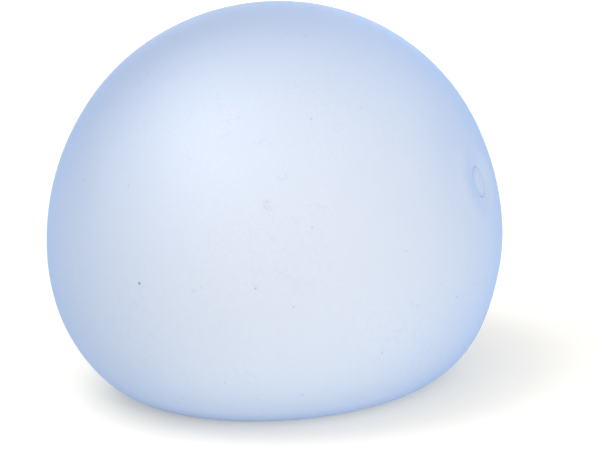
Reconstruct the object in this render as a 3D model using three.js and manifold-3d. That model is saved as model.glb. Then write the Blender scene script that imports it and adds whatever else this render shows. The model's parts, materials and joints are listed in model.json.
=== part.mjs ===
// A gel-filled stress ball: a one-piece moulded rubber skin, the gel that fills it, and the
// bung with its ring of sealant that close the filling port. The ball stands as it slumps
// under its own weight, with a wide flat foot and a round crown.
// Millimetres, +Z up, origin at the middle of the foot.
import * as THREE from "three";
import { mergeVertices } from "three/addons/utils/BufferGeometryUtils.js";
import Module from "manifold-3d";

const wasm = await Module();
wasm.setup();

// The ball's outline: a crown and a base that meet at the waist, its widest ring.
const WAIST_RADIUS = 33;
const WAIST_HEIGHT = 20.3;
const CROWN_RISE = 34.8;
const FOOT_RADIUS = 20.6;
const CROWN_POWER = 2.06;
const BASE_POWER = 1.85;

const WALL = 2;
const GAP = 0.3;
const OUTLINE_STEPS = 12;
const ROUND_SEGMENTS = 44;

// The filling port: a shallow dish outside, a thick boss inside, a stepped hole through both.
// Its heights are along the port's own axis, from the ball's surface, outward positive.
const PORT_HEIGHT = 30.2;
const PORT_TURN = THREE.MathUtils.degToRad(-20.5);
const PORT_SEGMENTS = 20;
const DISH_RADIUS = 5;
const DISH_DEPTH = 0.5;
const DISH_STEPS = 5;
const BOSS_RADIUS = 4.2;
const BOSS_TOP = -1.2;
const BOSS_END = -5.4;
const SEAT_DEPTH = 2.5;
const HOLE_RADIUS = 1.45;
const OUTSIDE = 3;

// The bung: a round head in the seat, a stem in the hole and a bead behind the boss.
const HEAD_RADIUS = 2.2;
const HEAD_THICKNESS = 0.9;
const HEAD_CROWN = 0.15;
const STEM_RADIUS = HOLE_RADIUS - GAP;
const BEAD_RADIUS = 1.9;
const BEAD_LENGTH = 1.4;
const BEAD_TIP_RADIUS = 0.9;

const SEAT_RADIUS = HEAD_RADIUS + GAP;
const SEAT_FLOOR = -SEAT_DEPTH;
const HEAD_FACE = -DISH_DEPTH;
const HEAD_BACK = HEAD_FACE - HEAD_THICKNESS;
const BEAD_START = BOSS_END - GAP;
const BUNG_END = BEAD_START - BEAD_LENGTH;

const QUARTER = Math.PI / 2;
const WELD = 1e-4;

// A point on a rounded quarter: power 2 is an ellipse, and a higher power is squarer.
function quarterPoint(share, power) {
  const angle = share * QUARTER;
  return [Math.cos(angle) ** (2 / power), Math.sin(angle) ** (2 / power)];
}

// The ball's half outline, moved in by inset, from the axis at the foot to the crown.
function ballOutline(inset) {
  const points = [new THREE.Vector2(0, inset)];
  for (let i = OUTLINE_STEPS; i > 0; i -= 1) {
    const [across, down] = quarterPoint(i / OUTLINE_STEPS, BASE_POWER);
    const radius = FOOT_RADIUS + (WAIST_RADIUS - inset - FOOT_RADIUS) * across;
    points.push(new THREE.Vector2(radius, WAIST_HEIGHT - (WAIST_HEIGHT - inset) * down));
  }
  for (let i = 0; i < OUTLINE_STEPS; i += 1) {
    const [across, up] = quarterPoint(i / OUTLINE_STEPS, CROWN_POWER);
    const radius = (WAIST_RADIUS - inset) * across;
    points.push(new THREE.Vector2(radius, WAIST_HEIGHT + (CROWN_RISE - inset) * up));
  }
  points.push(new THREE.Vector2(0, WAIST_HEIGHT + CROWN_RISE - inset));
  return points;
}

// A body turned about Z from its half outline, which runs from its lowest point upward.
function turned(outline, segments) {
  return new THREE.LatheGeometry(outline, segments).rotateX(QUARTER);
}

// A turned body with straight sides, given as [radius, height] corners.
function turnedCorners(corners) {
  return turned(corners.map(([radius, height]) => new THREE.Vector2(radius, height)), PORT_SEGMENTS);
}

// Where the port's axis meets the ball's surface, and the direction it points out.
function portPlace() {
  const rise = (PORT_HEIGHT - WAIST_HEIGHT) / CROWN_RISE;
  const radius = WAIST_RADIUS * (1 - rise ** CROWN_POWER) ** (1 / CROWN_POWER);
  const steepness = WAIST_RADIUS / CROWN_RISE;
  const outward = (radius / WAIST_RADIUS) ** (CROWN_POWER - 1);
  const upward = steepness * rise ** (CROWN_POWER - 1);
  const tilt = Math.atan2(upward, outward);
  const place = new THREE.Object3D();
  place.position.set(radius * Math.cos(PORT_TURN), radius * Math.sin(PORT_TURN), PORT_HEIGHT);
  place.rotation.set(0, QUARTER - tilt, PORT_TURN, "ZYX");
  place.updateMatrix();
  return place;
}

const port = portPlace();

// A closed geometry as a solid that can be cut and joined.
function toSolid(geometry) {
  geometry.deleteAttribute("normal");
  geometry.deleteAttribute("uv");
  const merged = mergeVertices(geometry, WELD);
  const corners = merged.index.array;
  const kept = [];
  for (let i = 0; i < corners.length; i += 3) {
    const [a, b, c] = corners.slice(i, i + 3);
    if (a !== b && b !== c && c !== a) {
      kept.push(a, b, c);
    }
  }
  return new wasm.Manifold(new wasm.Mesh({
    numProp: 3,
    vertProperties: merged.attributes.position.array,
    triVerts: new Uint32Array(kept),
  }));
}

function toGeometry(solid) {
  const mesh = solid.getMesh();
  const geometry = new THREE.BufferGeometry();
  geometry.setAttribute("position", new THREE.BufferAttribute(mesh.vertProperties, 3));
  geometry.setIndex(new THREE.BufferAttribute(mesh.triVerts, 1));
  geometry.computeVertexNormals();
  return geometry;
}

// A turned tool in the port's own frame, put where the port is.
function portTool(geometry) {
  return toSolid(geometry.applyMatrix4(port.matrix));
}

function cylinderCorners(radius, low, high) {
  return [[0, low], [radius, low], [radius, high], [0, high]];
}

// A bowl that leaves the dish: it meets the ball's own curve at the dish's radius.
function dishOutline() {
  const ballDrop = DISH_RADIUS ** 2 / (2 * WAIST_RADIUS);
  const rise = (DISH_DEPTH - ballDrop) / DISH_RADIUS ** 2;
  const rim = DISH_RADIUS + OUTSIDE;
  const points = [];
  for (let i = 0; i <= DISH_STEPS; i += 1) {
    const radius = (rim * i) / DISH_STEPS;
    points.push([radius, rise * radius ** 2 - DISH_DEPTH]);
  }
  points.push([rim, OUTSIDE], [0, OUTSIDE]);
  return points;
}

function skinGeometry() {
  const outside = toSolid(turned(ballOutline(0), ROUND_SEGMENTS));
  const inside = toSolid(turned(ballOutline(WALL), ROUND_SEGMENTS));
  const boss = portTool(turnedCorners(cylinderCorners(BOSS_RADIUS, BOSS_END, BOSS_TOP)));
  const dish = portTool(turnedCorners(dishOutline()));
  const seat = portTool(turnedCorners(cylinderCorners(SEAT_RADIUS, SEAT_FLOOR, OUTSIDE)));
  const hole = portTool(turnedCorners(cylinderCorners(HOLE_RADIUS, BUNG_END, OUTSIDE)));
  return toGeometry(outside.subtract(inside).add(boss).subtract(dish).subtract(seat).subtract(hole));
}

// The gel, clear of the skin and of a pocket that holds the boss and the bung's bead.
function gelGeometry() {
  const body = toSolid(turned(ballOutline(WALL + GAP), ROUND_SEGMENTS));
  const pocket = portTool(turnedCorners(cylinderCorners(BOSS_RADIUS + GAP, BUNG_END - GAP, OUTSIDE)));
  return toGeometry(body.subtract(pocket));
}

function bungGeometry() {
  return turnedCorners([
    [0, BUNG_END],
    [BEAD_TIP_RADIUS, BUNG_END],
    [BEAD_RADIUS, BEAD_START - GAP],
    [BEAD_RADIUS, BEAD_START],
    [STEM_RADIUS, BEAD_START],
    [STEM_RADIUS, HEAD_BACK],
    [HEAD_RADIUS, HEAD_BACK],
    [HEAD_RADIUS, HEAD_FACE - HEAD_CROWN],
    [HEAD_RADIUS - HEAD_CROWN, HEAD_FACE],
    [0, HEAD_FACE],
  ]);
}

// The ring of sealant between the bung's head and the seat's floor.
function sealGeometry() {
  const low = SEAT_FLOOR + GAP / 2;
  const high = HEAD_BACK - GAP / 2;
  return turnedCorners([
    [HOLE_RADIUS, low],
    [HEAD_RADIUS, low],
    [HEAD_RADIUS, high],
    [HOLE_RADIUS, high],
    [HOLE_RADIUS, low],
  ]);
}

function piece(name, geometry, look) {
  const mesh = new THREE.Mesh(geometry, new THREE.MeshStandardMaterial({ metalness: 0, ...look }));
  mesh.name = name;
  return mesh;
}

const skin = piece("skin", skinGeometry(), { color: 0xb4c8e8, roughness: 0.45 });
const gelFill = piece("gel_fill", gelGeometry(), { color: 0xe5eaf5, roughness: 0.6 });
const fillPlug = piece("fill_plug", bungGeometry(), { color: 0xc2d2ec, roughness: 0.4 });
const plugSeal = piece("plug_seal", sealGeometry(), { color: 0xe8e6d8, roughness: 0.3 });

const portGroup = new THREE.Group();
portGroup.position.copy(port.position);
portGroup.quaternion.copy(port.quaternion);
portGroup.add(fillPlug, plugSeal);

const stressBall = new THREE.Group();
stressBall.add(skin, gelFill, portGroup);

export default stressBall;
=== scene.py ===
"""A gel-filled stress ball: a dusty, milky blue rubber skin over soft gel, closed by a rubber bung.

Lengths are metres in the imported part's frame: +Z up, with the middle of the foot at the origin.
"""

import json
from math import atan2, cos, hypot, pi, radians, sin, tan

import bpy
import numpy as np
from mathutils import Matrix, Vector

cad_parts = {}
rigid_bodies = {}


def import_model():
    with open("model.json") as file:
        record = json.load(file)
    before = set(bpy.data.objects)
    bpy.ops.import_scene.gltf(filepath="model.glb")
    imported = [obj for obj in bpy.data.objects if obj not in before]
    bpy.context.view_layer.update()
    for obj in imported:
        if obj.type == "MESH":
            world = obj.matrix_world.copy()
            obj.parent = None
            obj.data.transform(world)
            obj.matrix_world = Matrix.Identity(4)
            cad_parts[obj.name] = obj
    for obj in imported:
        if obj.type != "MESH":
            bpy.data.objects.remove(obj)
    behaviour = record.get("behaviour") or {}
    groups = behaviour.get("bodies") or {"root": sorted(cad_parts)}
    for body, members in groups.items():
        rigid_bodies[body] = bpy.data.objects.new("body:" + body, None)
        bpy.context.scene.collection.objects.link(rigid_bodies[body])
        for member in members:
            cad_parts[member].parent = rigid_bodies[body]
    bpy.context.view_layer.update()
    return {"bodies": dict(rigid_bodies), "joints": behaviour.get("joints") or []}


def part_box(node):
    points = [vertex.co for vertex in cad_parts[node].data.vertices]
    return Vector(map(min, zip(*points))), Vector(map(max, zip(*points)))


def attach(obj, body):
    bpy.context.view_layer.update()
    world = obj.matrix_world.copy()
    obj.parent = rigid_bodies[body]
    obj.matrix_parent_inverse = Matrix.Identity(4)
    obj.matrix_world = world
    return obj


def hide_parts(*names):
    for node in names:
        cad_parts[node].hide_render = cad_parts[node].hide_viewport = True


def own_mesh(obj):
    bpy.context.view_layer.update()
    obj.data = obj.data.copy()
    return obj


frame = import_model()

MM = 0.001
SKIN_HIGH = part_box("skin")[1]

# The ball's outline, as the CAD skin has it: a crown and a base that meet at the waist.
WAIST_RADIUS = SKIN_HIGH.x
CROWN_HEIGHT = SKIN_HIGH.z
WAIST_HEIGHT = 20.3 * MM
FOOT_RADIUS = 20.6 * MM
CROWN_POWER = 2.06
BASE_POWER = 1.85
WALL = 2 * MM
GAP = 0.3 * MM
OUTLINE_STEPS = 1500

# The filling port. Its heights are along its own axis, from the ball's surface, outward positive.
PORT_HEIGHT = 30.2 * MM
PORT_TURN = radians(-20.5)
DISH_RADIUS = 5 * MM
DISH_DEPTH = 0.5 * MM
LIP_RADIUS = 1.15 * DISH_RADIUS
LIP_WIDTH = 0.9 * MM
LIP_HEIGHT = 0.08 * MM
HEAD_RADIUS = 2.2 * MM
HEAD_THICKNESS = 0.9 * MM
SEAM = 0.05 * MM
SEAT_RADIUS = HEAD_RADIUS + SEAM
SEAT_FLOOR = -2.5 * MM
HOLE_RADIUS = 1.45 * MM
STEM_RADIUS = HOLE_RADIUS - GAP
BOSS_RADIUS = 4.2 * MM
BOSS_END = -5.4 * MM
BEAD_RADIUS = 1.9 * MM
BEAD_TIP_RADIUS = 0.9 * MM
BEAD_START = BOSS_END - GAP
BUNG_END = BEAD_START - 1.4 * MM
EDGE = 0.15 * MM
HEAD_DOME = 0.3 * EDGE
SPRUE_RADIUS = 0.5 * MM
SPRUE_HEIGHT = 0.12 * MM

# The unevenness that slumping and moulding leave. It dies out at the port and at the foot.
LEAN_SIZE = 0.3 * MM
LEAN_ANGLE = radians(45)
CROWN_SETTLE = 0.12 * MM
LUMP_SIZE = 0.06 * MM
LUMP_WAVES = 14
LUMP_WAVINESS = (3, 12)
LUMP_SEED = 11
PORT_CALM = (7 * MM, 16 * MM)
FOOT_CALM = (4 * MM, 14 * MM)

SEGMENTS = 192
RING_STEP = 0.18 * MM
RING_GROWTH = 1.12
WALL_STEP = 0.95 * MM
SEAL_SIDES = 16

# The squeeze: where its joint carries the bung, and what the ball does meanwhile.
SQUEEZE = frame["joints"][0]
TRAVEL = SQUEEZE["range_m"][1]
PRESS = Vector(SQUEEZE["axis"]).normalized() * TRAVEL
KEEP = 1 + PRESS.z / PORT_HEIGHT
RIGID_REACH = 3.5 * MM
RIGID_FADE = 26 * MM
RIGID_EASE = 2.2

# The look. Colours are linear, and sizes are those of a pattern's features. A pair of roughnesses is
# the least and the most. The sizes of a small part are those of its clouds, gloss patches and grain.
NOISE_SPAN = (0.35, 0.65)
RUBBER_TINT = (1.0, 1.0, 1.0)
RUBBER_CLOUD = (0.975, 0.98, 0.985)
RUBBER_SMUDGE = (0.93, 0.945, 0.965)
RUBBER_DUST = (0.965, 0.97, 0.98)
# Painted shade in the creases.
RUBBER_CREASE_SHADE = (0.9, 0.92, 0.95)
RUBBER_THROUGH = 0.17
RUBBER_ROUGH = (0.44, 0.56)
RUBBER_IOR = 1.1
SKIN_TINT = (0.82, 0.828, 0.832)
SKIN_GLOSS_IOR = 1.19
SKIN_GLOSS_ROUGH = 0.5
BLOOM = 0.78
BLOOM_TINT = (0.2, 0.44, 0.93)
BLOOM_ROUGHNESS = 0.88
CLOUD_SIZE = 13 * MM
SMUDGE_SIZE = 0.9 * MM
SMUDGE_PATCH = 17 * MM
DUST_SIZE = 0.4 * MM
CREASE_SPACING = 14 * MM
CREASE_WIDTH = 0.006
RAISED = 0.03 * MM
GRAIN_SIZE = 0.45 * MM
GRAIN_DEPTH = 0.012 * MM
SPECK_SPACING = 3.6 * MM
SPECK_RADIUS = 0.2 * MM
SPECK_COLOR = (0.33, 0.38, 0.5)
SPECK_SHOWN = (0.05, 0.55)
# Blemishes on the front: turn from the camera's side, height, radius, and how dark and how mottled.
BLEMISHES = (
    {"turn": radians(-0.6), "height": 33.6 * MM, "radius": 1.1 * MM, "darkness": 0.22, "mottled": True},
    {"turn": radians(-34.7), "height": 22.8 * MM, "radius": 0.33 * MM, "darkness": 1, "mottled": False},
    {"turn": radians(-4.9), "height": 22.7 * MM, "radius": 0.2 * MM, "darkness": 0.7, "mottled": False},
    {"turn": radians(-51.5), "height": 27.4 * MM, "radius": 0.2 * MM, "darkness": 0.5, "mottled": False},
)
GEL_MILKY = (0.99, 0.985, 0.98)
GEL_CLOUD = (0.955, 0.965, 0.98)
GEL_CLOUD_SIZE = 9 * MM
GEL_ROUGH = (0.5, 0.7)
GEL_GLOSS_SIZE = 4 * MM
GEL_SCATTER = 2.0
GEL_BUBBLE = (0.9, 0.93, 0.97)
BUBBLE_SPACING = 5.5 * MM
BUBBLE_RADIUS = 0.55 * MM
BUNG_COLOR = (0.5, 0.6, 0.77)
BUNG_CLOUD = (0.45, 0.55, 0.74)
# Painted shade at the rim of the bung's head.
BUNG_RIM_SHADE = (0.4, 0.5, 0.73)
BUNG_ROUGH = (0.45, 0.6)
BUNG_SIZES = (0.9 * MM, 0.5 * MM, 0.25 * MM)
BUNG_BLOOM = 0.3
SEAT_COLOR = (0.6, 0.7, 0.88)
SEAT_CLOUD = (0.53, 0.64, 0.84)
SEAT_ROUGH = (0.42, 0.6)
SEAT_SIZES = (1.2 * MM, 0.6 * MM, 0.3 * MM)
LINING_ROUGH = (0.4, 0.6)
SEALANT_COLOR = (0.86, 0.84, 0.74)
SEALANT_CLOUD = (0.78, 0.75, 0.62)
SEALANT_ROUGH = (0.12, 0.35)
SEALANT_SIZES = (0.7 * MM, 0.4 * MM, 0.35 * MM)
SEALANT_RIPPLE = 0.02 * MM

# The studio: a pale floor that glows a little, and less near the ball as a painted shadow, a white world
# and soft lights round the ball.
# A light's turn is from the camera's side, right positive, and its width is that of its disk.
FLOOR_SIZE = 6.0
# Near the ball the floor is warmer and glows less: a painted shadow.
FLOOR_SHADOW_COLOR = (0.95, 0.92, 0.85)
FLOOR_FAR_COLOR = (0.95, 0.95, 0.95)
FLOOR_SHADOW_GLOW = 0.18
FLOOR_FAR_GLOW = 0.5
FLOOR_NEAR = 100 * MM
FLOOR_FAR = 500 * MM
WORLD_STRENGTH = 0.64
LIGHT_DISTANCE = 1.2
SOFT_LIGHTS = (
    {"name": "overhead", "turn": radians(-65), "elevation": radians(84), "width": 0.7, "power": 1.55},
    {"name": "upper_left", "turn": radians(-84), "elevation": radians(66), "width": 0.7, "power": 3.4},
    {"name": "low_front", "turn": radians(28), "elevation": radians(2), "width": 0.8, "power": 8.9},
    {"name": "low_back", "turn": radians(180), "elevation": radians(2), "width": 0.8, "power": 4.2},
)
POOL_TURN = radians(-22)
POOL_ELEVATION = radians(40)
POOL_ANGLE = radians(1.5)
POOL_SOFTNESS = 0.01
POOL_POWER = 11

# The camera: a long lens, a little above the ball, held with a slight roll.
VIEW_DISTANCE = 14 * WAIST_RADIUS
VIEW_ELEVATION = radians(15)
VIEW_ROLL = radians(3.61)
BALL_SHARE = 0.379
AIM_RIGHT = 0.109 * WAIST_RADIUS
AIM_UP = 0.031 * WAIST_RADIUS
SENSOR = 36


# ---------------------------------------------------------------- outline and port

def outline(inset):
    """The half outline moved in by inset, as (radius, height) from the foot's middle to the crown."""
    share = np.linspace(0, 1, OUTLINE_STEPS // 3, endpoint=False)
    foot = np.c_[share * FOOT_RADIUS, np.full(len(share), inset)]
    angle = np.linspace(pi / 2, 0, OUTLINE_STEPS)
    base = np.c_[
        FOOT_RADIUS + (WAIST_RADIUS - inset - FOOT_RADIUS) * np.cos(angle) ** (2 / BASE_POWER),
        WAIST_HEIGHT - (WAIST_HEIGHT - inset) * np.sin(angle) ** (2 / BASE_POWER),
    ]
    angle = np.linspace(0, pi / 2, OUTLINE_STEPS)[1:]
    crown = np.c_[
        (WAIST_RADIUS - inset) * np.cos(angle) ** (2 / CROWN_POWER),
        WAIST_HEIGHT + (CROWN_HEIGHT - WAIST_HEIGHT - inset) * np.sin(angle) ** (2 / CROWN_POWER),
    ]
    return np.concatenate([foot, base, crown])


def port_frame():
    """The port: its place on the surface, its axis, two directions across, and its reach and tilt."""
    crown_rise = CROWN_HEIGHT - WAIST_HEIGHT
    rise = (PORT_HEIGHT - WAIST_HEIGHT) / crown_rise
    radius = WAIST_RADIUS * (1 - rise ** CROWN_POWER) ** (1 / CROWN_POWER)
    outward = (radius / WAIST_RADIUS) ** (CROWN_POWER - 1)
    upward = WAIST_RADIUS / crown_rise * rise ** (CROWN_POWER - 1)
    tilt = atan2(upward, outward)
    side = np.array([cos(PORT_TURN), sin(PORT_TURN), 0])
    place = side * radius + np.array([0, 0, PORT_HEIGHT])
    axis = side * cos(tilt) + np.array([0, 0, sin(tilt)])
    across = np.array([-sin(PORT_TURN), cos(PORT_TURN), 0])
    return place, axis, across, np.cross(axis, across), radius, tilt


PORT, PORT_AXIS, PORT_ACROSS, PORT_UP, PORT_REACH, PORT_TILT = port_frame()
WIDER = hypot(PRESS.x, PRESS.y) / PORT_REACH
# Where the port's axis crosses the ball's own: all rings of the wall are seen from this point.
MIDDLE = np.array([0, 0, PORT_HEIGHT - PORT_REACH * tan(PORT_TILT)])
PORT_DISTANCE = float(np.linalg.norm(PORT - MIDDLE))


def smooth(value, low, high):
    """0 up to low, 1 from high on, with level ends between them."""
    share = np.clip((value - low) / (high - low), 0, 1)
    return share * share * (3 - 2 * share)


def off_port_axis(points):
    """How far points are from the port's axis, and how high along it."""
    height = (points - PORT) @ PORT_AXIS
    return np.linalg.norm(points - PORT - np.outer(height, PORT_AXIS), axis=1), height


def unevenness(directions, points):
    """How far the ball stands proud of its turned outline: a lean, a settled crown and low lumps."""
    lean_up = np.array([cos(LEAN_ANGLE), 0, sin(LEAN_ANGLE)])
    lean_side = np.array([-sin(LEAN_ANGLE), 0, cos(LEAN_ANGLE)])
    proud = LEAN_SIZE * ((directions @ lean_up) ** 2 - (directions @ lean_side) ** 2)
    proud -= CROWN_SETTLE * np.clip(directions[:, 2], 0, 1) ** 2
    random = np.random.default_rng(LUMP_SEED)
    fewest, most = LUMP_WAVINESS
    for wave in range(LUMP_WAVES):
        way = random.normal(size=3)
        way /= np.linalg.norm(way)
        waviness = fewest + (most - fewest) * wave / LUMP_WAVES
        phase = random.uniform(0, 2 * pi)
        height = LUMP_SIZE * 2 / (2 + wave)
        proud += height * np.sin(directions @ way * waviness + phase)
    across, height = off_port_axis(points)
    by_port = np.where(height > -PORT_DISTANCE, smooth(across, *PORT_CALM), 1)
    return proud * by_port * smooth(points[:, 2], *FOOT_CALM)


def turns():
    return np.linspace(0, 2 * pi, SEGMENTS, endpoint=False)[:, None]


def wall_ring(angle, inset):
    """A ring of the ball's wall, at an angle from the port's axis and moved in by inset."""
    sideways = np.cos(turns()) * PORT_ACROSS + np.sin(turns()) * PORT_UP
    directions = cos(angle) * PORT_AXIS + sin(angle) * sideways
    curve = outline(inset)
    lift = np.arctan2(curve[:, 1] - MIDDLE[2], curve[:, 0])
    distance = np.hypot(curve[:, 0], curve[:, 1] - MIDDLE[2])
    reach = np.interp(np.arcsin(directions[:, 2]), lift, distance)
    points = MIDDLE + directions * reach[:, None]
    return points + directions * unevenness(directions, points)[:, None]


def port_ring(radius, height):
    """A ring about the port's axis."""
    sideways = np.cos(turns()) * PORT_ACROSS + np.sin(turns()) * PORT_UP
    return PORT + height * PORT_AXIS + radius * sideways


def dished(points):
    """The wall's outer points with the port's dish pressed in and the low lip round it."""
    across, _ = off_port_axis(points)
    dish = np.clip(1 - (across / DISH_RADIUS) ** 3, 0, 1) ** 2
    lip = np.exp(-((across - LIP_RADIUS) / LIP_WIDTH) ** 2)
    return points + np.outer(LIP_HEIGHT * lip - DISH_DEPTH * dish, PORT_AXIS)


def wall_angles(start_radius, inset):
    """Ring angles from start_radius off the port's axis round to the far side, finer near the port."""
    arc = start_radius * PORT_DISTANCE / (PORT_DISTANCE - inset)
    step = RING_STEP
    end = pi * PORT_DISTANCE - step
    angles = []
    while arc < end:
        angles.append(arc / PORT_DISTANCE)
        arc += step
        step = min(step * RING_GROWTH, WALL_STEP)
    return angles


# ---------------------------------------------------------------- meshes

def mesh_object(name, points, faces):
    """A smooth-shaded piece. Its rest places go with it, so that patterns stay put when it is pressed."""
    mesh = bpy.data.meshes.new(name)
    mesh.from_pydata(points.tolist(), [], faces)
    mesh.validate()
    mesh.polygons.foreach_set("use_smooth", [True] * len(mesh.polygons))
    rest = mesh.attributes.new("rest_place", "FLOAT_VECTOR", "POINT")
    rest.data.foreach_set("vector", points.ravel())
    mesh.update()
    piece = bpy.data.objects.new(name, mesh)
    bpy.context.scene.collection.objects.link(piece)
    return piece


def band(low, high):
    """The faces between two rings that start at these vertices."""
    after = [(i + 1) % SEGMENTS for i in range(SEGMENTS)]
    return [(low + i, low + j, high + j, high + i) for i, j in enumerate(after)]


def closed_by_points(name, first, rings, last):
    """A closed body: a point, rings in order, and a point."""
    points = np.concatenate([first[None], *rings, last[None]])
    end = len(points) - 1
    last_ring = end - SEGMENTS
    after = [(i + 1) % SEGMENTS for i in range(SEGMENTS)]
    faces = [(0, 1 + j, 1 + i) for i, j in enumerate(after)]
    for k in range(len(rings) - 1):
        faces += band(1 + k * SEGMENTS, 1 + (k + 1) * SEGMENTS)
    faces += [(last_ring + i, last_ring + j, end) for i, j in enumerate(after)]
    return mesh_object(name, points, faces)


def make_skin():
    """The whole rubber shell: outer wall, dish, seat, hole, boss and inner wall in one closed body."""
    outer = [dished(wall_ring(angle, 0)) for angle in reversed(wall_angles(SEAT_RADIUS + SEAM, 0))]
    rim = float(off_port_axis(outer[-1])[1].mean())
    seat = [
        port_ring(SEAT_RADIUS, rim - SEAM),
        port_ring(SEAT_RADIUS, SEAT_FLOOR + EDGE),
        port_ring(SEAT_RADIUS - EDGE, SEAT_FLOOR),
        port_ring(HOLE_RADIUS + EDGE, SEAT_FLOOR),
    ]
    boss = [
        port_ring(HOLE_RADIUS, SEAT_FLOOR - EDGE),
        port_ring(HOLE_RADIUS, BOSS_END + EDGE),
        port_ring(HOLE_RADIUS + EDGE, BOSS_END),
        port_ring(BOSS_RADIUS - EDGE, BOSS_END),
        port_ring(BOSS_RADIUS, BOSS_END + EDGE),
    ]
    inner = [wall_ring(angle, WALL) for angle in wall_angles(BOSS_RADIUS, WALL)]
    piece = closed_by_points(
        "ball_skin", wall_ring(pi, 0)[0], outer + seat + boss + inner, wall_ring(pi, WALL)[0]
    )
    seat_start = len(outer) * SEGMENTS
    seat_end = seat_start + len(seat) * SEGMENTS
    for face in piece.data.polygons:
        face.material_index = int(face.index >= seat_start) + int(face.index >= seat_end)
    for material in (rubber_material(), seat_material(), lining_material()):
        piece.data.materials.append(material)
    return piece


def make_gel():
    """The gel, with the pocket that the port's boss and the bung's bead stand in."""
    inset = WALL + GAP
    pocket = BOSS_RADIUS + GAP
    floor = BUNG_END - GAP
    rings = [wall_ring(angle, inset) for angle in reversed(wall_angles(pocket, inset))]
    rings += [
        port_ring(pocket, floor + EDGE),
        port_ring(pocket - EDGE, floor),
        port_ring(pocket / 2, floor),
    ]
    piece = closed_by_points("milky_gel", wall_ring(pi, inset)[0], rings, PORT + floor * PORT_AXIS)
    piece.data.materials.append(gel_material())
    return piece


def make_bung():
    """The bung: a domed head with a round edge and a trimmed sprue, a stem and a retaining bead."""
    face = -DISH_DEPTH
    back = face - HEAD_THICKNESS
    section = (
        (BEAD_TIP_RADIUS - EDGE, BUNG_END),
        (BEAD_TIP_RADIUS + EDGE, BUNG_END + EDGE),
        (BEAD_RADIUS, BEAD_START - 2 * EDGE),
        (BEAD_RADIUS, BEAD_START - EDGE),
        (BEAD_RADIUS - EDGE, BEAD_START),
        (STEM_RADIUS + EDGE, BEAD_START),
        (STEM_RADIUS, BEAD_START + EDGE),
        (STEM_RADIUS, back - EDGE),
        (STEM_RADIUS + EDGE, back),
        (HEAD_RADIUS - EDGE, back),
        (HEAD_RADIUS, back + EDGE),
        (HEAD_RADIUS, face - HEAD_DOME),
        (HEAD_RADIUS - HEAD_DOME, face),
        (HEAD_RADIUS - EDGE, face + HEAD_DOME / 2),
        (HEAD_RADIUS / 2, face + HEAD_DOME),
        (SPRUE_RADIUS, face + HEAD_DOME),
        (0.84 * SPRUE_RADIUS, face + SPRUE_HEIGHT / 2),
        (SPRUE_RADIUS / 2, face + SPRUE_HEIGHT),
    )
    rings = [port_ring(radius, height) for radius, height in section]
    tip = PORT + (face + SPRUE_HEIGHT) * PORT_AXIS
    piece = closed_by_points("port_bung", PORT + BUNG_END * PORT_AXIS, rings, tip)
    piece.data.materials.append(bung_material())
    return piece


def make_seal():
    """The ring of sealant under the bung's head, a torus with an oval section."""
    low = SEAT_FLOOR + GAP / 2
    high = -DISH_DEPTH - HEAD_THICKNESS - GAP / 2
    radius = (HOLE_RADIUS + HEAD_RADIUS) / 2
    width = (HEAD_RADIUS - HOLE_RADIUS) / 2
    points = []
    faces = []
    for k in range(SEAL_SIDES):
        angle = 2 * pi * k / SEAL_SIDES
        height = (low + high) / 2 + (high - low) / 2 * sin(angle)
        points.append(port_ring(radius + width * cos(angle), height))
        faces += band(k * SEGMENTS, (k + 1) % SEAL_SIDES * SEGMENTS)
    piece = mesh_object("sealant_ring", np.concatenate(points), faces)
    piece.data.materials.append(sealant_material())
    return piece


# ---------------------------------------------------------------- nodes

def add(tree, kind, inputs=None, **settings):
    """A node with its settings, whose inputs are plain values or the outputs of other nodes."""
    node = tree.nodes.new(kind)
    for name, value in settings.items():
        setattr(node, name, value)
    for key, value in (inputs or {}).items():
        if isinstance(value, bpy.types.NodeSocket):
            tree.links.new(value, node.inputs[key])
        else:
            node.inputs[key].default_value = value
    return node


def number(tree, operation, *values):
    return add(tree, "ShaderNodeMath", dict(enumerate(values)), operation=operation).outputs[0]


def vector(tree, operation, *values):
    node = add(tree, "ShaderNodeVectorMath", dict(enumerate(values)), operation=operation)
    return node.outputs["Value" if operation in ("LENGTH", "DISTANCE") else "Vector"]


def scaled(tree, value, factor):
    return add(tree, "ShaderNodeVectorMath", {0: value, "Scale": factor}, operation="SCALE").outputs[0]


def fade(tree, value, low, high, start=1.0, end=0.0):
    """Goes smoothly from start to end as value goes from low to high."""
    inputs = {"Value": value, "From Min": low, "From Max": high, "To Min": start, "To Max": end}
    return add(tree, "ShaderNodeMapRange", inputs, interpolation_type="SMOOTHSTEP").outputs[0]


# ---------------------------------------------------------------- patterns

def mixed(tree, share, first, second):
    """A colour between two, each a colour or another pattern."""
    inputs = {"Factor": share}
    for key, color in ((6, first), (7, second)):
        inputs[key] = color if isinstance(color, bpy.types.NodeSocket) else (*color, 1)
    return add(tree, "ShaderNodeMix", inputs, data_type="RGBA").outputs[2]


def rest_place(tree):
    return add(tree, "ShaderNodeAttribute", attribute_name="rest_place").outputs["Vector"]


def noise(tree, size, detail=2.0):
    inputs = {"Vector": rest_place(tree), "Scale": 1 / size, "Detail": detail}
    return add(tree, "ShaderNodeTexNoise", inputs).outputs[0]


def varied(tree, size, low, high, detail=2.0):
    """A value that wanders between low and high."""
    return fade(tree, noise(tree, size, detail), *NOISE_SPAN, low, high)


def dots(tree, spacing, radius):
    """How far a place is inside one of the round dots strewn through a piece, and a chance for each."""
    inputs = {"Vector": rest_place(tree), "Scale": 1 / spacing}
    cells = add(tree, "ShaderNodeTexVoronoi", inputs)
    share = radius / spacing
    inside = fade(tree, cells.outputs["Distance"], 0.45 * share, share)
    chance = add(tree, "ShaderNodeSeparateColor", {0: cells.outputs["Color"]}).outputs[0]
    return inside, chance


def bumped(tree, height, depth):
    return add(tree, "ShaderNodeBump", {"Height": height, "Distance": depth}).outputs[0]


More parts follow.
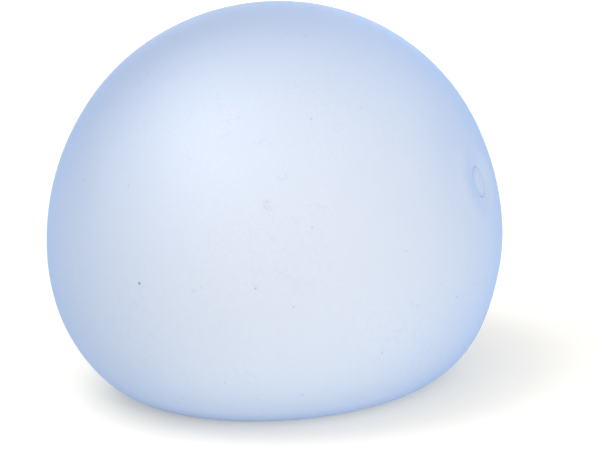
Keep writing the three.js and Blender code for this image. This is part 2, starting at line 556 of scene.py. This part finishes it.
def new_material(name, pattern, constants):
    """A material of one Principled node: pattern gives the inputs that vary, constants those that don't."""
    material = bpy.data.materials.new(name)
    material.use_nodes = True
    tree = material.node_tree
    tree.nodes.clear()
    shader = add(tree, "ShaderNodeBsdfPrincipled", {**constants, **pattern(tree)})
    add(tree, "ShaderNodeOutputMaterial", {"Surface": shader.outputs[0]})
    return material


# ---------------------------------------------------------------- materials

def small_part_pattern(tree, color, sizes, rough, depth):
    """A small part's surface: the given colour, patches of gloss and a fine grain."""
    _, gloss_size, grain_size = sizes
    return {
        "Base Color": color,
        "Roughness": varied(tree, gloss_size, *rough),
        "Normal": bumped(tree, noise(tree, grain_size, 3), depth),
    }


def creases(tree):
    """Hairline creases of the film: broken stretches of the level lines of a slow noise. They are sunk a
    little, and painted darker as shade in them.
    """
    off_line = number(tree, "ABSOLUTE", number(tree, "SUBTRACT", noise(tree, CREASE_SPACING, 3), 0.5))
    line = fade(tree, off_line, 0, CREASE_WIDTH)
    stretch = fade(tree, noise(tree, CREASE_SPACING / 2, 1), 0.52, 0.62, 0, 1)
    broken = fade(tree, noise(tree, SMUDGE_SIZE), 0.45, 0.6, 0, 1)
    return number(tree, "MULTIPLY", number(tree, "MULTIPLY", line, stretch), broken)


def crown_place(turn, height):
    """A place on the crown, at a turn from the camera's side, right positive."""
    rise = (height - WAIST_HEIGHT) / (CROWN_HEIGHT - WAIST_HEIGHT)
    radius = WAIST_RADIUS * (1 - rise ** CROWN_POWER) ** (1 / CROWN_POWER)
    return radius * sin(turn), -radius * cos(turn), height


def blemish(tree, turn, height, radius, darkness, mottled):
    """How dark a small round blemish makes the rubber."""
    away = vector(tree, "DISTANCE", rest_place(tree), crown_place(turn, height))
    inside = fade(tree, away, 0.5 * radius, radius, darkness, 0)
    if not mottled:
        return inside
    return number(tree, "MULTIPLY", inside, fade(tree, noise(tree, radius / 3), 0.42, 0.6, 0, 1))


def rubber_pattern(tree):
    """Faint clouds, dust, patches of small smudges, hairline creases with painted shade in them, specks and
    a few blemishes.
    """
    clouds = fade(tree, noise(tree, CLOUD_SIZE, 3), 0.4, 0.65, 0, 1)
    rubber = mixed(tree, clouds, RUBBER_TINT, RUBBER_CLOUD)
    rubber = mixed(tree, varied(tree, DUST_SIZE, 0, 1), rubber, RUBBER_DUST)
    patches = fade(tree, noise(tree, SMUDGE_PATCH, 0), 0.5, 0.68, 0, 1)
    smudges = number(tree, "MULTIPLY", fade(tree, noise(tree, SMUDGE_SIZE, 4), 0.5, 0.7, 0, 1), patches)
    rubber = mixed(tree, smudges, rubber, RUBBER_SMUDGE)
    lines = creases(tree)
    # Painted shade: the creases are darker in colour.
    rubber = mixed(tree, lines, rubber, RUBBER_CREASE_SHADE)
    inside, chance = dots(tree, SPECK_SPACING, SPECK_RADIUS)
    specks = number(tree, "MULTIPLY", inside, fade(tree, chance, 0, 1, *SPECK_SHOWN))
    for spot in BLEMISHES:
        specks = number(tree, "MAXIMUM", specks, blemish(tree, **spot))
    grain = bumped(tree, noise(tree, GRAIN_SIZE, 3), GRAIN_DEPTH)
    relief = {"Height": number(tree, "SUBTRACT", inside, lines), "Distance": RAISED, "Normal": grain}
    return {
        "Base Color": mixed(tree, specks, rubber, SPECK_COLOR),
        "Roughness": varied(tree, CLOUD_SIZE / 3, *RUBBER_ROUGH, detail=4),
        "Normal": add(tree, "ShaderNodeBump", relief).outputs[0],
    }


def rubber_material():
    """Satin rubber that lets some light through to the gel, with a blue bloom that shows along its rim."""
    return new_material("satin_rubber", rubber_pattern, {
        "IOR": RUBBER_IOR,
        "Transmission Weight": RUBBER_THROUGH,
        "Sheen Weight": BLOOM,
        "Sheen Roughness": BLOOM_ROUGHNESS,
        "Sheen Tint": (*BLOOM_TINT, 1),
        "Coat Weight": 1,
        "Coat Roughness": SKIN_GLOSS_ROUGH,
        "Coat IOR": SKIN_GLOSS_IOR,
        "Coat Tint": (*SKIN_TINT, 1),
    })


def lining_material():
    """The skin's inner face, which the gel wets, so that no light turns back there."""
    def pattern(tree):
        return {"Roughness": varied(tree, CLOUD_SIZE, *LINING_ROUGH)}
    return new_material("wetted_lining", pattern, {"Alpha": 0})


def seat_material():
    """The thick rubber of the port's seat."""
    def pattern(tree):
        color = mixed(tree, noise(tree, SEAT_SIZES[0], 3), SEAT_COLOR, SEAT_CLOUD)
        return small_part_pattern(tree, color, SEAT_SIZES, SEAT_ROUGH, GRAIN_DEPTH)
    return new_material("thick_rubber", pattern, {})


def gel_material():
    """Milky gel with slow clouds and small bubbles. Light crosses all of it."""
    def pattern(tree):
        clouds = fade(tree, noise(tree, GEL_CLOUD_SIZE, 3), 0.4, 0.65, 0, 1)
        inside, _ = dots(tree, BUBBLE_SPACING, BUBBLE_RADIUS)
        return {
            "Base Color": mixed(tree, inside, mixed(tree, clouds, GEL_MILKY, GEL_CLOUD), GEL_BUBBLE),
            "Roughness": varied(tree, GEL_GLOSS_SIZE, *GEL_ROUGH),
        }
    return new_material("milky_gel", pattern, {
        "Subsurface Weight": 1,
        "Subsurface Radius": (1, 1, 1),
        "Subsurface Scale": GEL_SCATTER,
    })


def bung_material():
    """Moulded bung rubber, cloudier than the skin, and painted darker towards the rim of its head, as shade
    where it meets the seat.
    """
    middle = tuple(PORT - DISH_DEPTH * PORT_AXIS)
    def pattern(tree):
        away = vector(tree, "DISTANCE", rest_place(tree), middle)
        # Painted shade towards the rim of the head.
        rim_shade = fade(tree, away, 0.5 * HEAD_RADIUS, HEAD_RADIUS, 0, 1)
        clouded = mixed(tree, noise(tree, BUNG_SIZES[0], 3), BUNG_COLOR, BUNG_CLOUD)
        color = mixed(tree, rim_shade, clouded, BUNG_RIM_SHADE)
        return small_part_pattern(tree, color, BUNG_SIZES, BUNG_ROUGH, GRAIN_DEPTH)
    return new_material("bung_rubber", pattern, {
        "Sheen Weight": BUNG_BLOOM,
        "Sheen Tint": (*BLOOM_TINT, 1),
    })


def sealant_material():
    """Cured sealant: glassy in places, slightly yellow."""
    def pattern(tree):
        color = mixed(tree, noise(tree, SEALANT_SIZES[0], 3), SEALANT_COLOR, SEALANT_CLOUD)
        return small_part_pattern(tree, color, SEALANT_SIZES, SEALANT_ROUGH, SEALANT_RIPPLE)
    return new_material("cured_sealant", pattern, {})


def floor_material():
    """Matte white that glows as a light table does, but a little near the ball and more away from it: the
    weaker glow near the ball is a painted shadow, and its warmer colour there keeps that painted shade
    grey.
    """
    def pattern(tree):
        away = vector(tree, "LENGTH", add(tree, "ShaderNodeNewGeometry").outputs["Position"])
        far = fade(tree, away, FLOOR_NEAR, FLOOR_FAR, 0, 1)
        return {
            "Base Color": mixed(tree, far, FLOOR_SHADOW_COLOR, FLOOR_FAR_COLOR),
            "Emission Strength": fade(tree, away, FLOOR_NEAR, FLOOR_FAR, FLOOR_SHADOW_GLOW, FLOOR_FAR_GLOW),
        }
    return new_material("pale_floor", pattern, {
        "Roughness": 0.9,
        "Emission Color": (1, 1, 1, 1),
        "Specular IOR Level": 0,
    })


# ---------------------------------------------------------------- the squeeze

def press_with_bung(piece):
    """Widens a pressed piece, and keeps it whole round the bung. The piece comes to it already flattened.
    """
    tree = bpy.data.node_groups.new(piece.name + "_press", "GeometryNodeTree")
    tree.interface.new_socket("Geometry", in_out="INPUT", socket_type="NodeSocketGeometry")
    tree.interface.new_socket("Geometry", in_out="OUTPUT", socket_type="NodeSocketGeometry")
    start = add(tree, "NodeGroupInput").outputs[0]
    bung = add(tree, "GeometryNodeObjectInfo", {"Object": frame["bodies"][SQUEEZE["child"]]})
    moved = bung.outputs["Location"]
    share = number(tree, "DIVIDE", vector(tree, "LENGTH", moved), TRAVEL)
    place = add(tree, "GeometryNodeInputPosition").outputs[0]
    flattened = number(tree, "SUBTRACT", 1.0, number(tree, "MULTIPLY", share, 1 - KEEP))
    axes = add(tree, "ShaderNodeSeparateXYZ", {0: place}).outputs
    height = number(tree, "DIVIDE", axes[2], flattened)
    at_rest = add(tree, "ShaderNodeCombineXYZ", {0: axes[0], 1: axes[1], 2: height}).outputs[0]
    away = vector(tree, "DISTANCE", at_rest, tuple(PORT))
    with_bung = number(tree, "POWER", fade(tree, away, RIGID_REACH, RIGID_FADE), RIGID_EASE)
    sideways = scaled(tree, vector(tree, "MULTIPLY", place, (WIDER, WIDER, 0)), share)
    unflattened = scaled(tree, vector(tree, "MULTIPLY", at_rest, (0, 0, 1 - KEEP)), share)
    rigid = vector(tree, "ADD", moved, unflattened)
    offset = add(tree, "ShaderNodeMix", {"Factor": with_bung, 4: sideways, 5: rigid}, data_type="VECTOR")
    move = add(tree, "GeometryNodeSetPosition", {"Geometry": start, "Offset": offset.outputs[1]})
    add(tree, "NodeGroupOutput", {0: move.outputs[0]})
    piece.modifiers.new("press", "NODES").node_group = tree


# ---------------------------------------------------------------- floor, light and camera

def make_floor():
    half = FLOOR_SIZE / 2
    mesh = bpy.data.meshes.new("floor")
    corners = [(-half, -half, 0), (half, -half, 0), (half, half, 0), (-half, half, 0)]
    mesh.from_pydata(corners, [], [(0, 1, 2, 3)])
    floor = bpy.data.objects.new("floor", mesh)
    bpy.context.scene.collection.objects.link(floor)
    floor.data.materials.append(floor_material())


def make_world():
    """White all round. It lights the ball less brightly than the backdrop looks."""
    world = bpy.data.worlds.new("studio")
    bpy.context.scene.world = world
    world.use_nodes = True
    tree = world.node_tree
    tree.nodes.clear()
    seen = add(tree, "ShaderNodeLightPath").outputs["Is Camera Ray"]
    strength = fade(tree, seen, 0, 1, WORLD_STRENGTH, 1)
    backdrop = add(tree, "ShaderNodeBackground", {"Color": (1, 1, 1, 1), "Strength": strength})
    add(tree, "ShaderNodeOutputWorld", {"Surface": backdrop.outputs[0]})


def light_way(turn, elevation):
    """The direction from the ball to a light."""
    return Vector((sin(turn) * cos(elevation), -cos(turn) * cos(elevation), sin(elevation)))


def place_light(data, way, target):
    light = bpy.data.objects.new(data.name, data)
    light.location = Vector(target) + way * LIGHT_DISTANCE
    light.rotation_mode = "QUATERNION"
    light.rotation_quaternion = way.to_track_quat("Z", "Y")
    bpy.context.scene.collection.objects.link(light)


def make_soft_light(name, turn, elevation, width, power):
    data = bpy.data.lights.new(name, "AREA")
    data.shape = "DISK"
    data.size = width
    data.energy = power
    place_light(data, light_way(turn, elevation), MIDDLE)


def make_pool_light():
    """A narrow light that leaves a soft pool on the ball's upper left."""
    data = bpy.data.lights.new("pool", "SPOT")
    data.spot_size = POOL_ANGLE
    data.spot_blend = 1
    data.shadow_soft_size = POOL_SOFTNESS
    data.energy = POOL_POWER
    way = light_way(POOL_TURN, POOL_ELEVATION)
    place_light(data, way, Vector(MIDDLE) + way * WAIST_RADIUS)


def make_camera():
    data = bpy.data.cameras.new("camera")
    camera = bpy.data.objects.new("camera", data)
    bpy.context.scene.collection.objects.link(camera)
    back = Vector((0, -cos(VIEW_ELEVATION), sin(VIEW_ELEVATION)))
    turn = back.to_track_quat("Z", "Y").to_matrix() @ Matrix.Rotation(-VIEW_ROLL, 3, "Z")
    right, up = turn.col[0], turn.col[1]
    aim = Vector((0, 0, WAIST_HEIGHT)) + right * AIM_RIGHT + up * AIM_UP
    camera.matrix_world = Matrix.Translation(aim + back * VIEW_DISTANCE) @ turn.to_4x4()
    data.sensor_width = SENSOR
    data.lens = SENSOR * BALL_SHARE * VIEW_DISTANCE / WAIST_RADIUS
    data.clip_start = 0.01
    data.clip_end = 10
    bpy.context.scene.camera = camera


# ---------------------------------------------------------------- the build

make_camera()
make_floor()
make_world()
for light in SOFT_LIGHTS:
    make_soft_light(**light)
make_pool_light()

skin = make_skin()
gel = make_gel()
bung = make_bung()
seal = make_seal()

for piece, body, node, slot in (
    (skin, "ball", "skin", "skin"),
    (gel, "ball", "gel_fill", "gel"),
    (bung, "plug", "fill_plug", "plug"),
    (seal, "plug", "plug_seal", "sealant"),
):
    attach(piece, body)
    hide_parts(node)
for piece in (skin, gel):
    press_with_bung(piece)
    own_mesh(piece)

bpy.context.scene.view_settings.view_transform = "Standard"
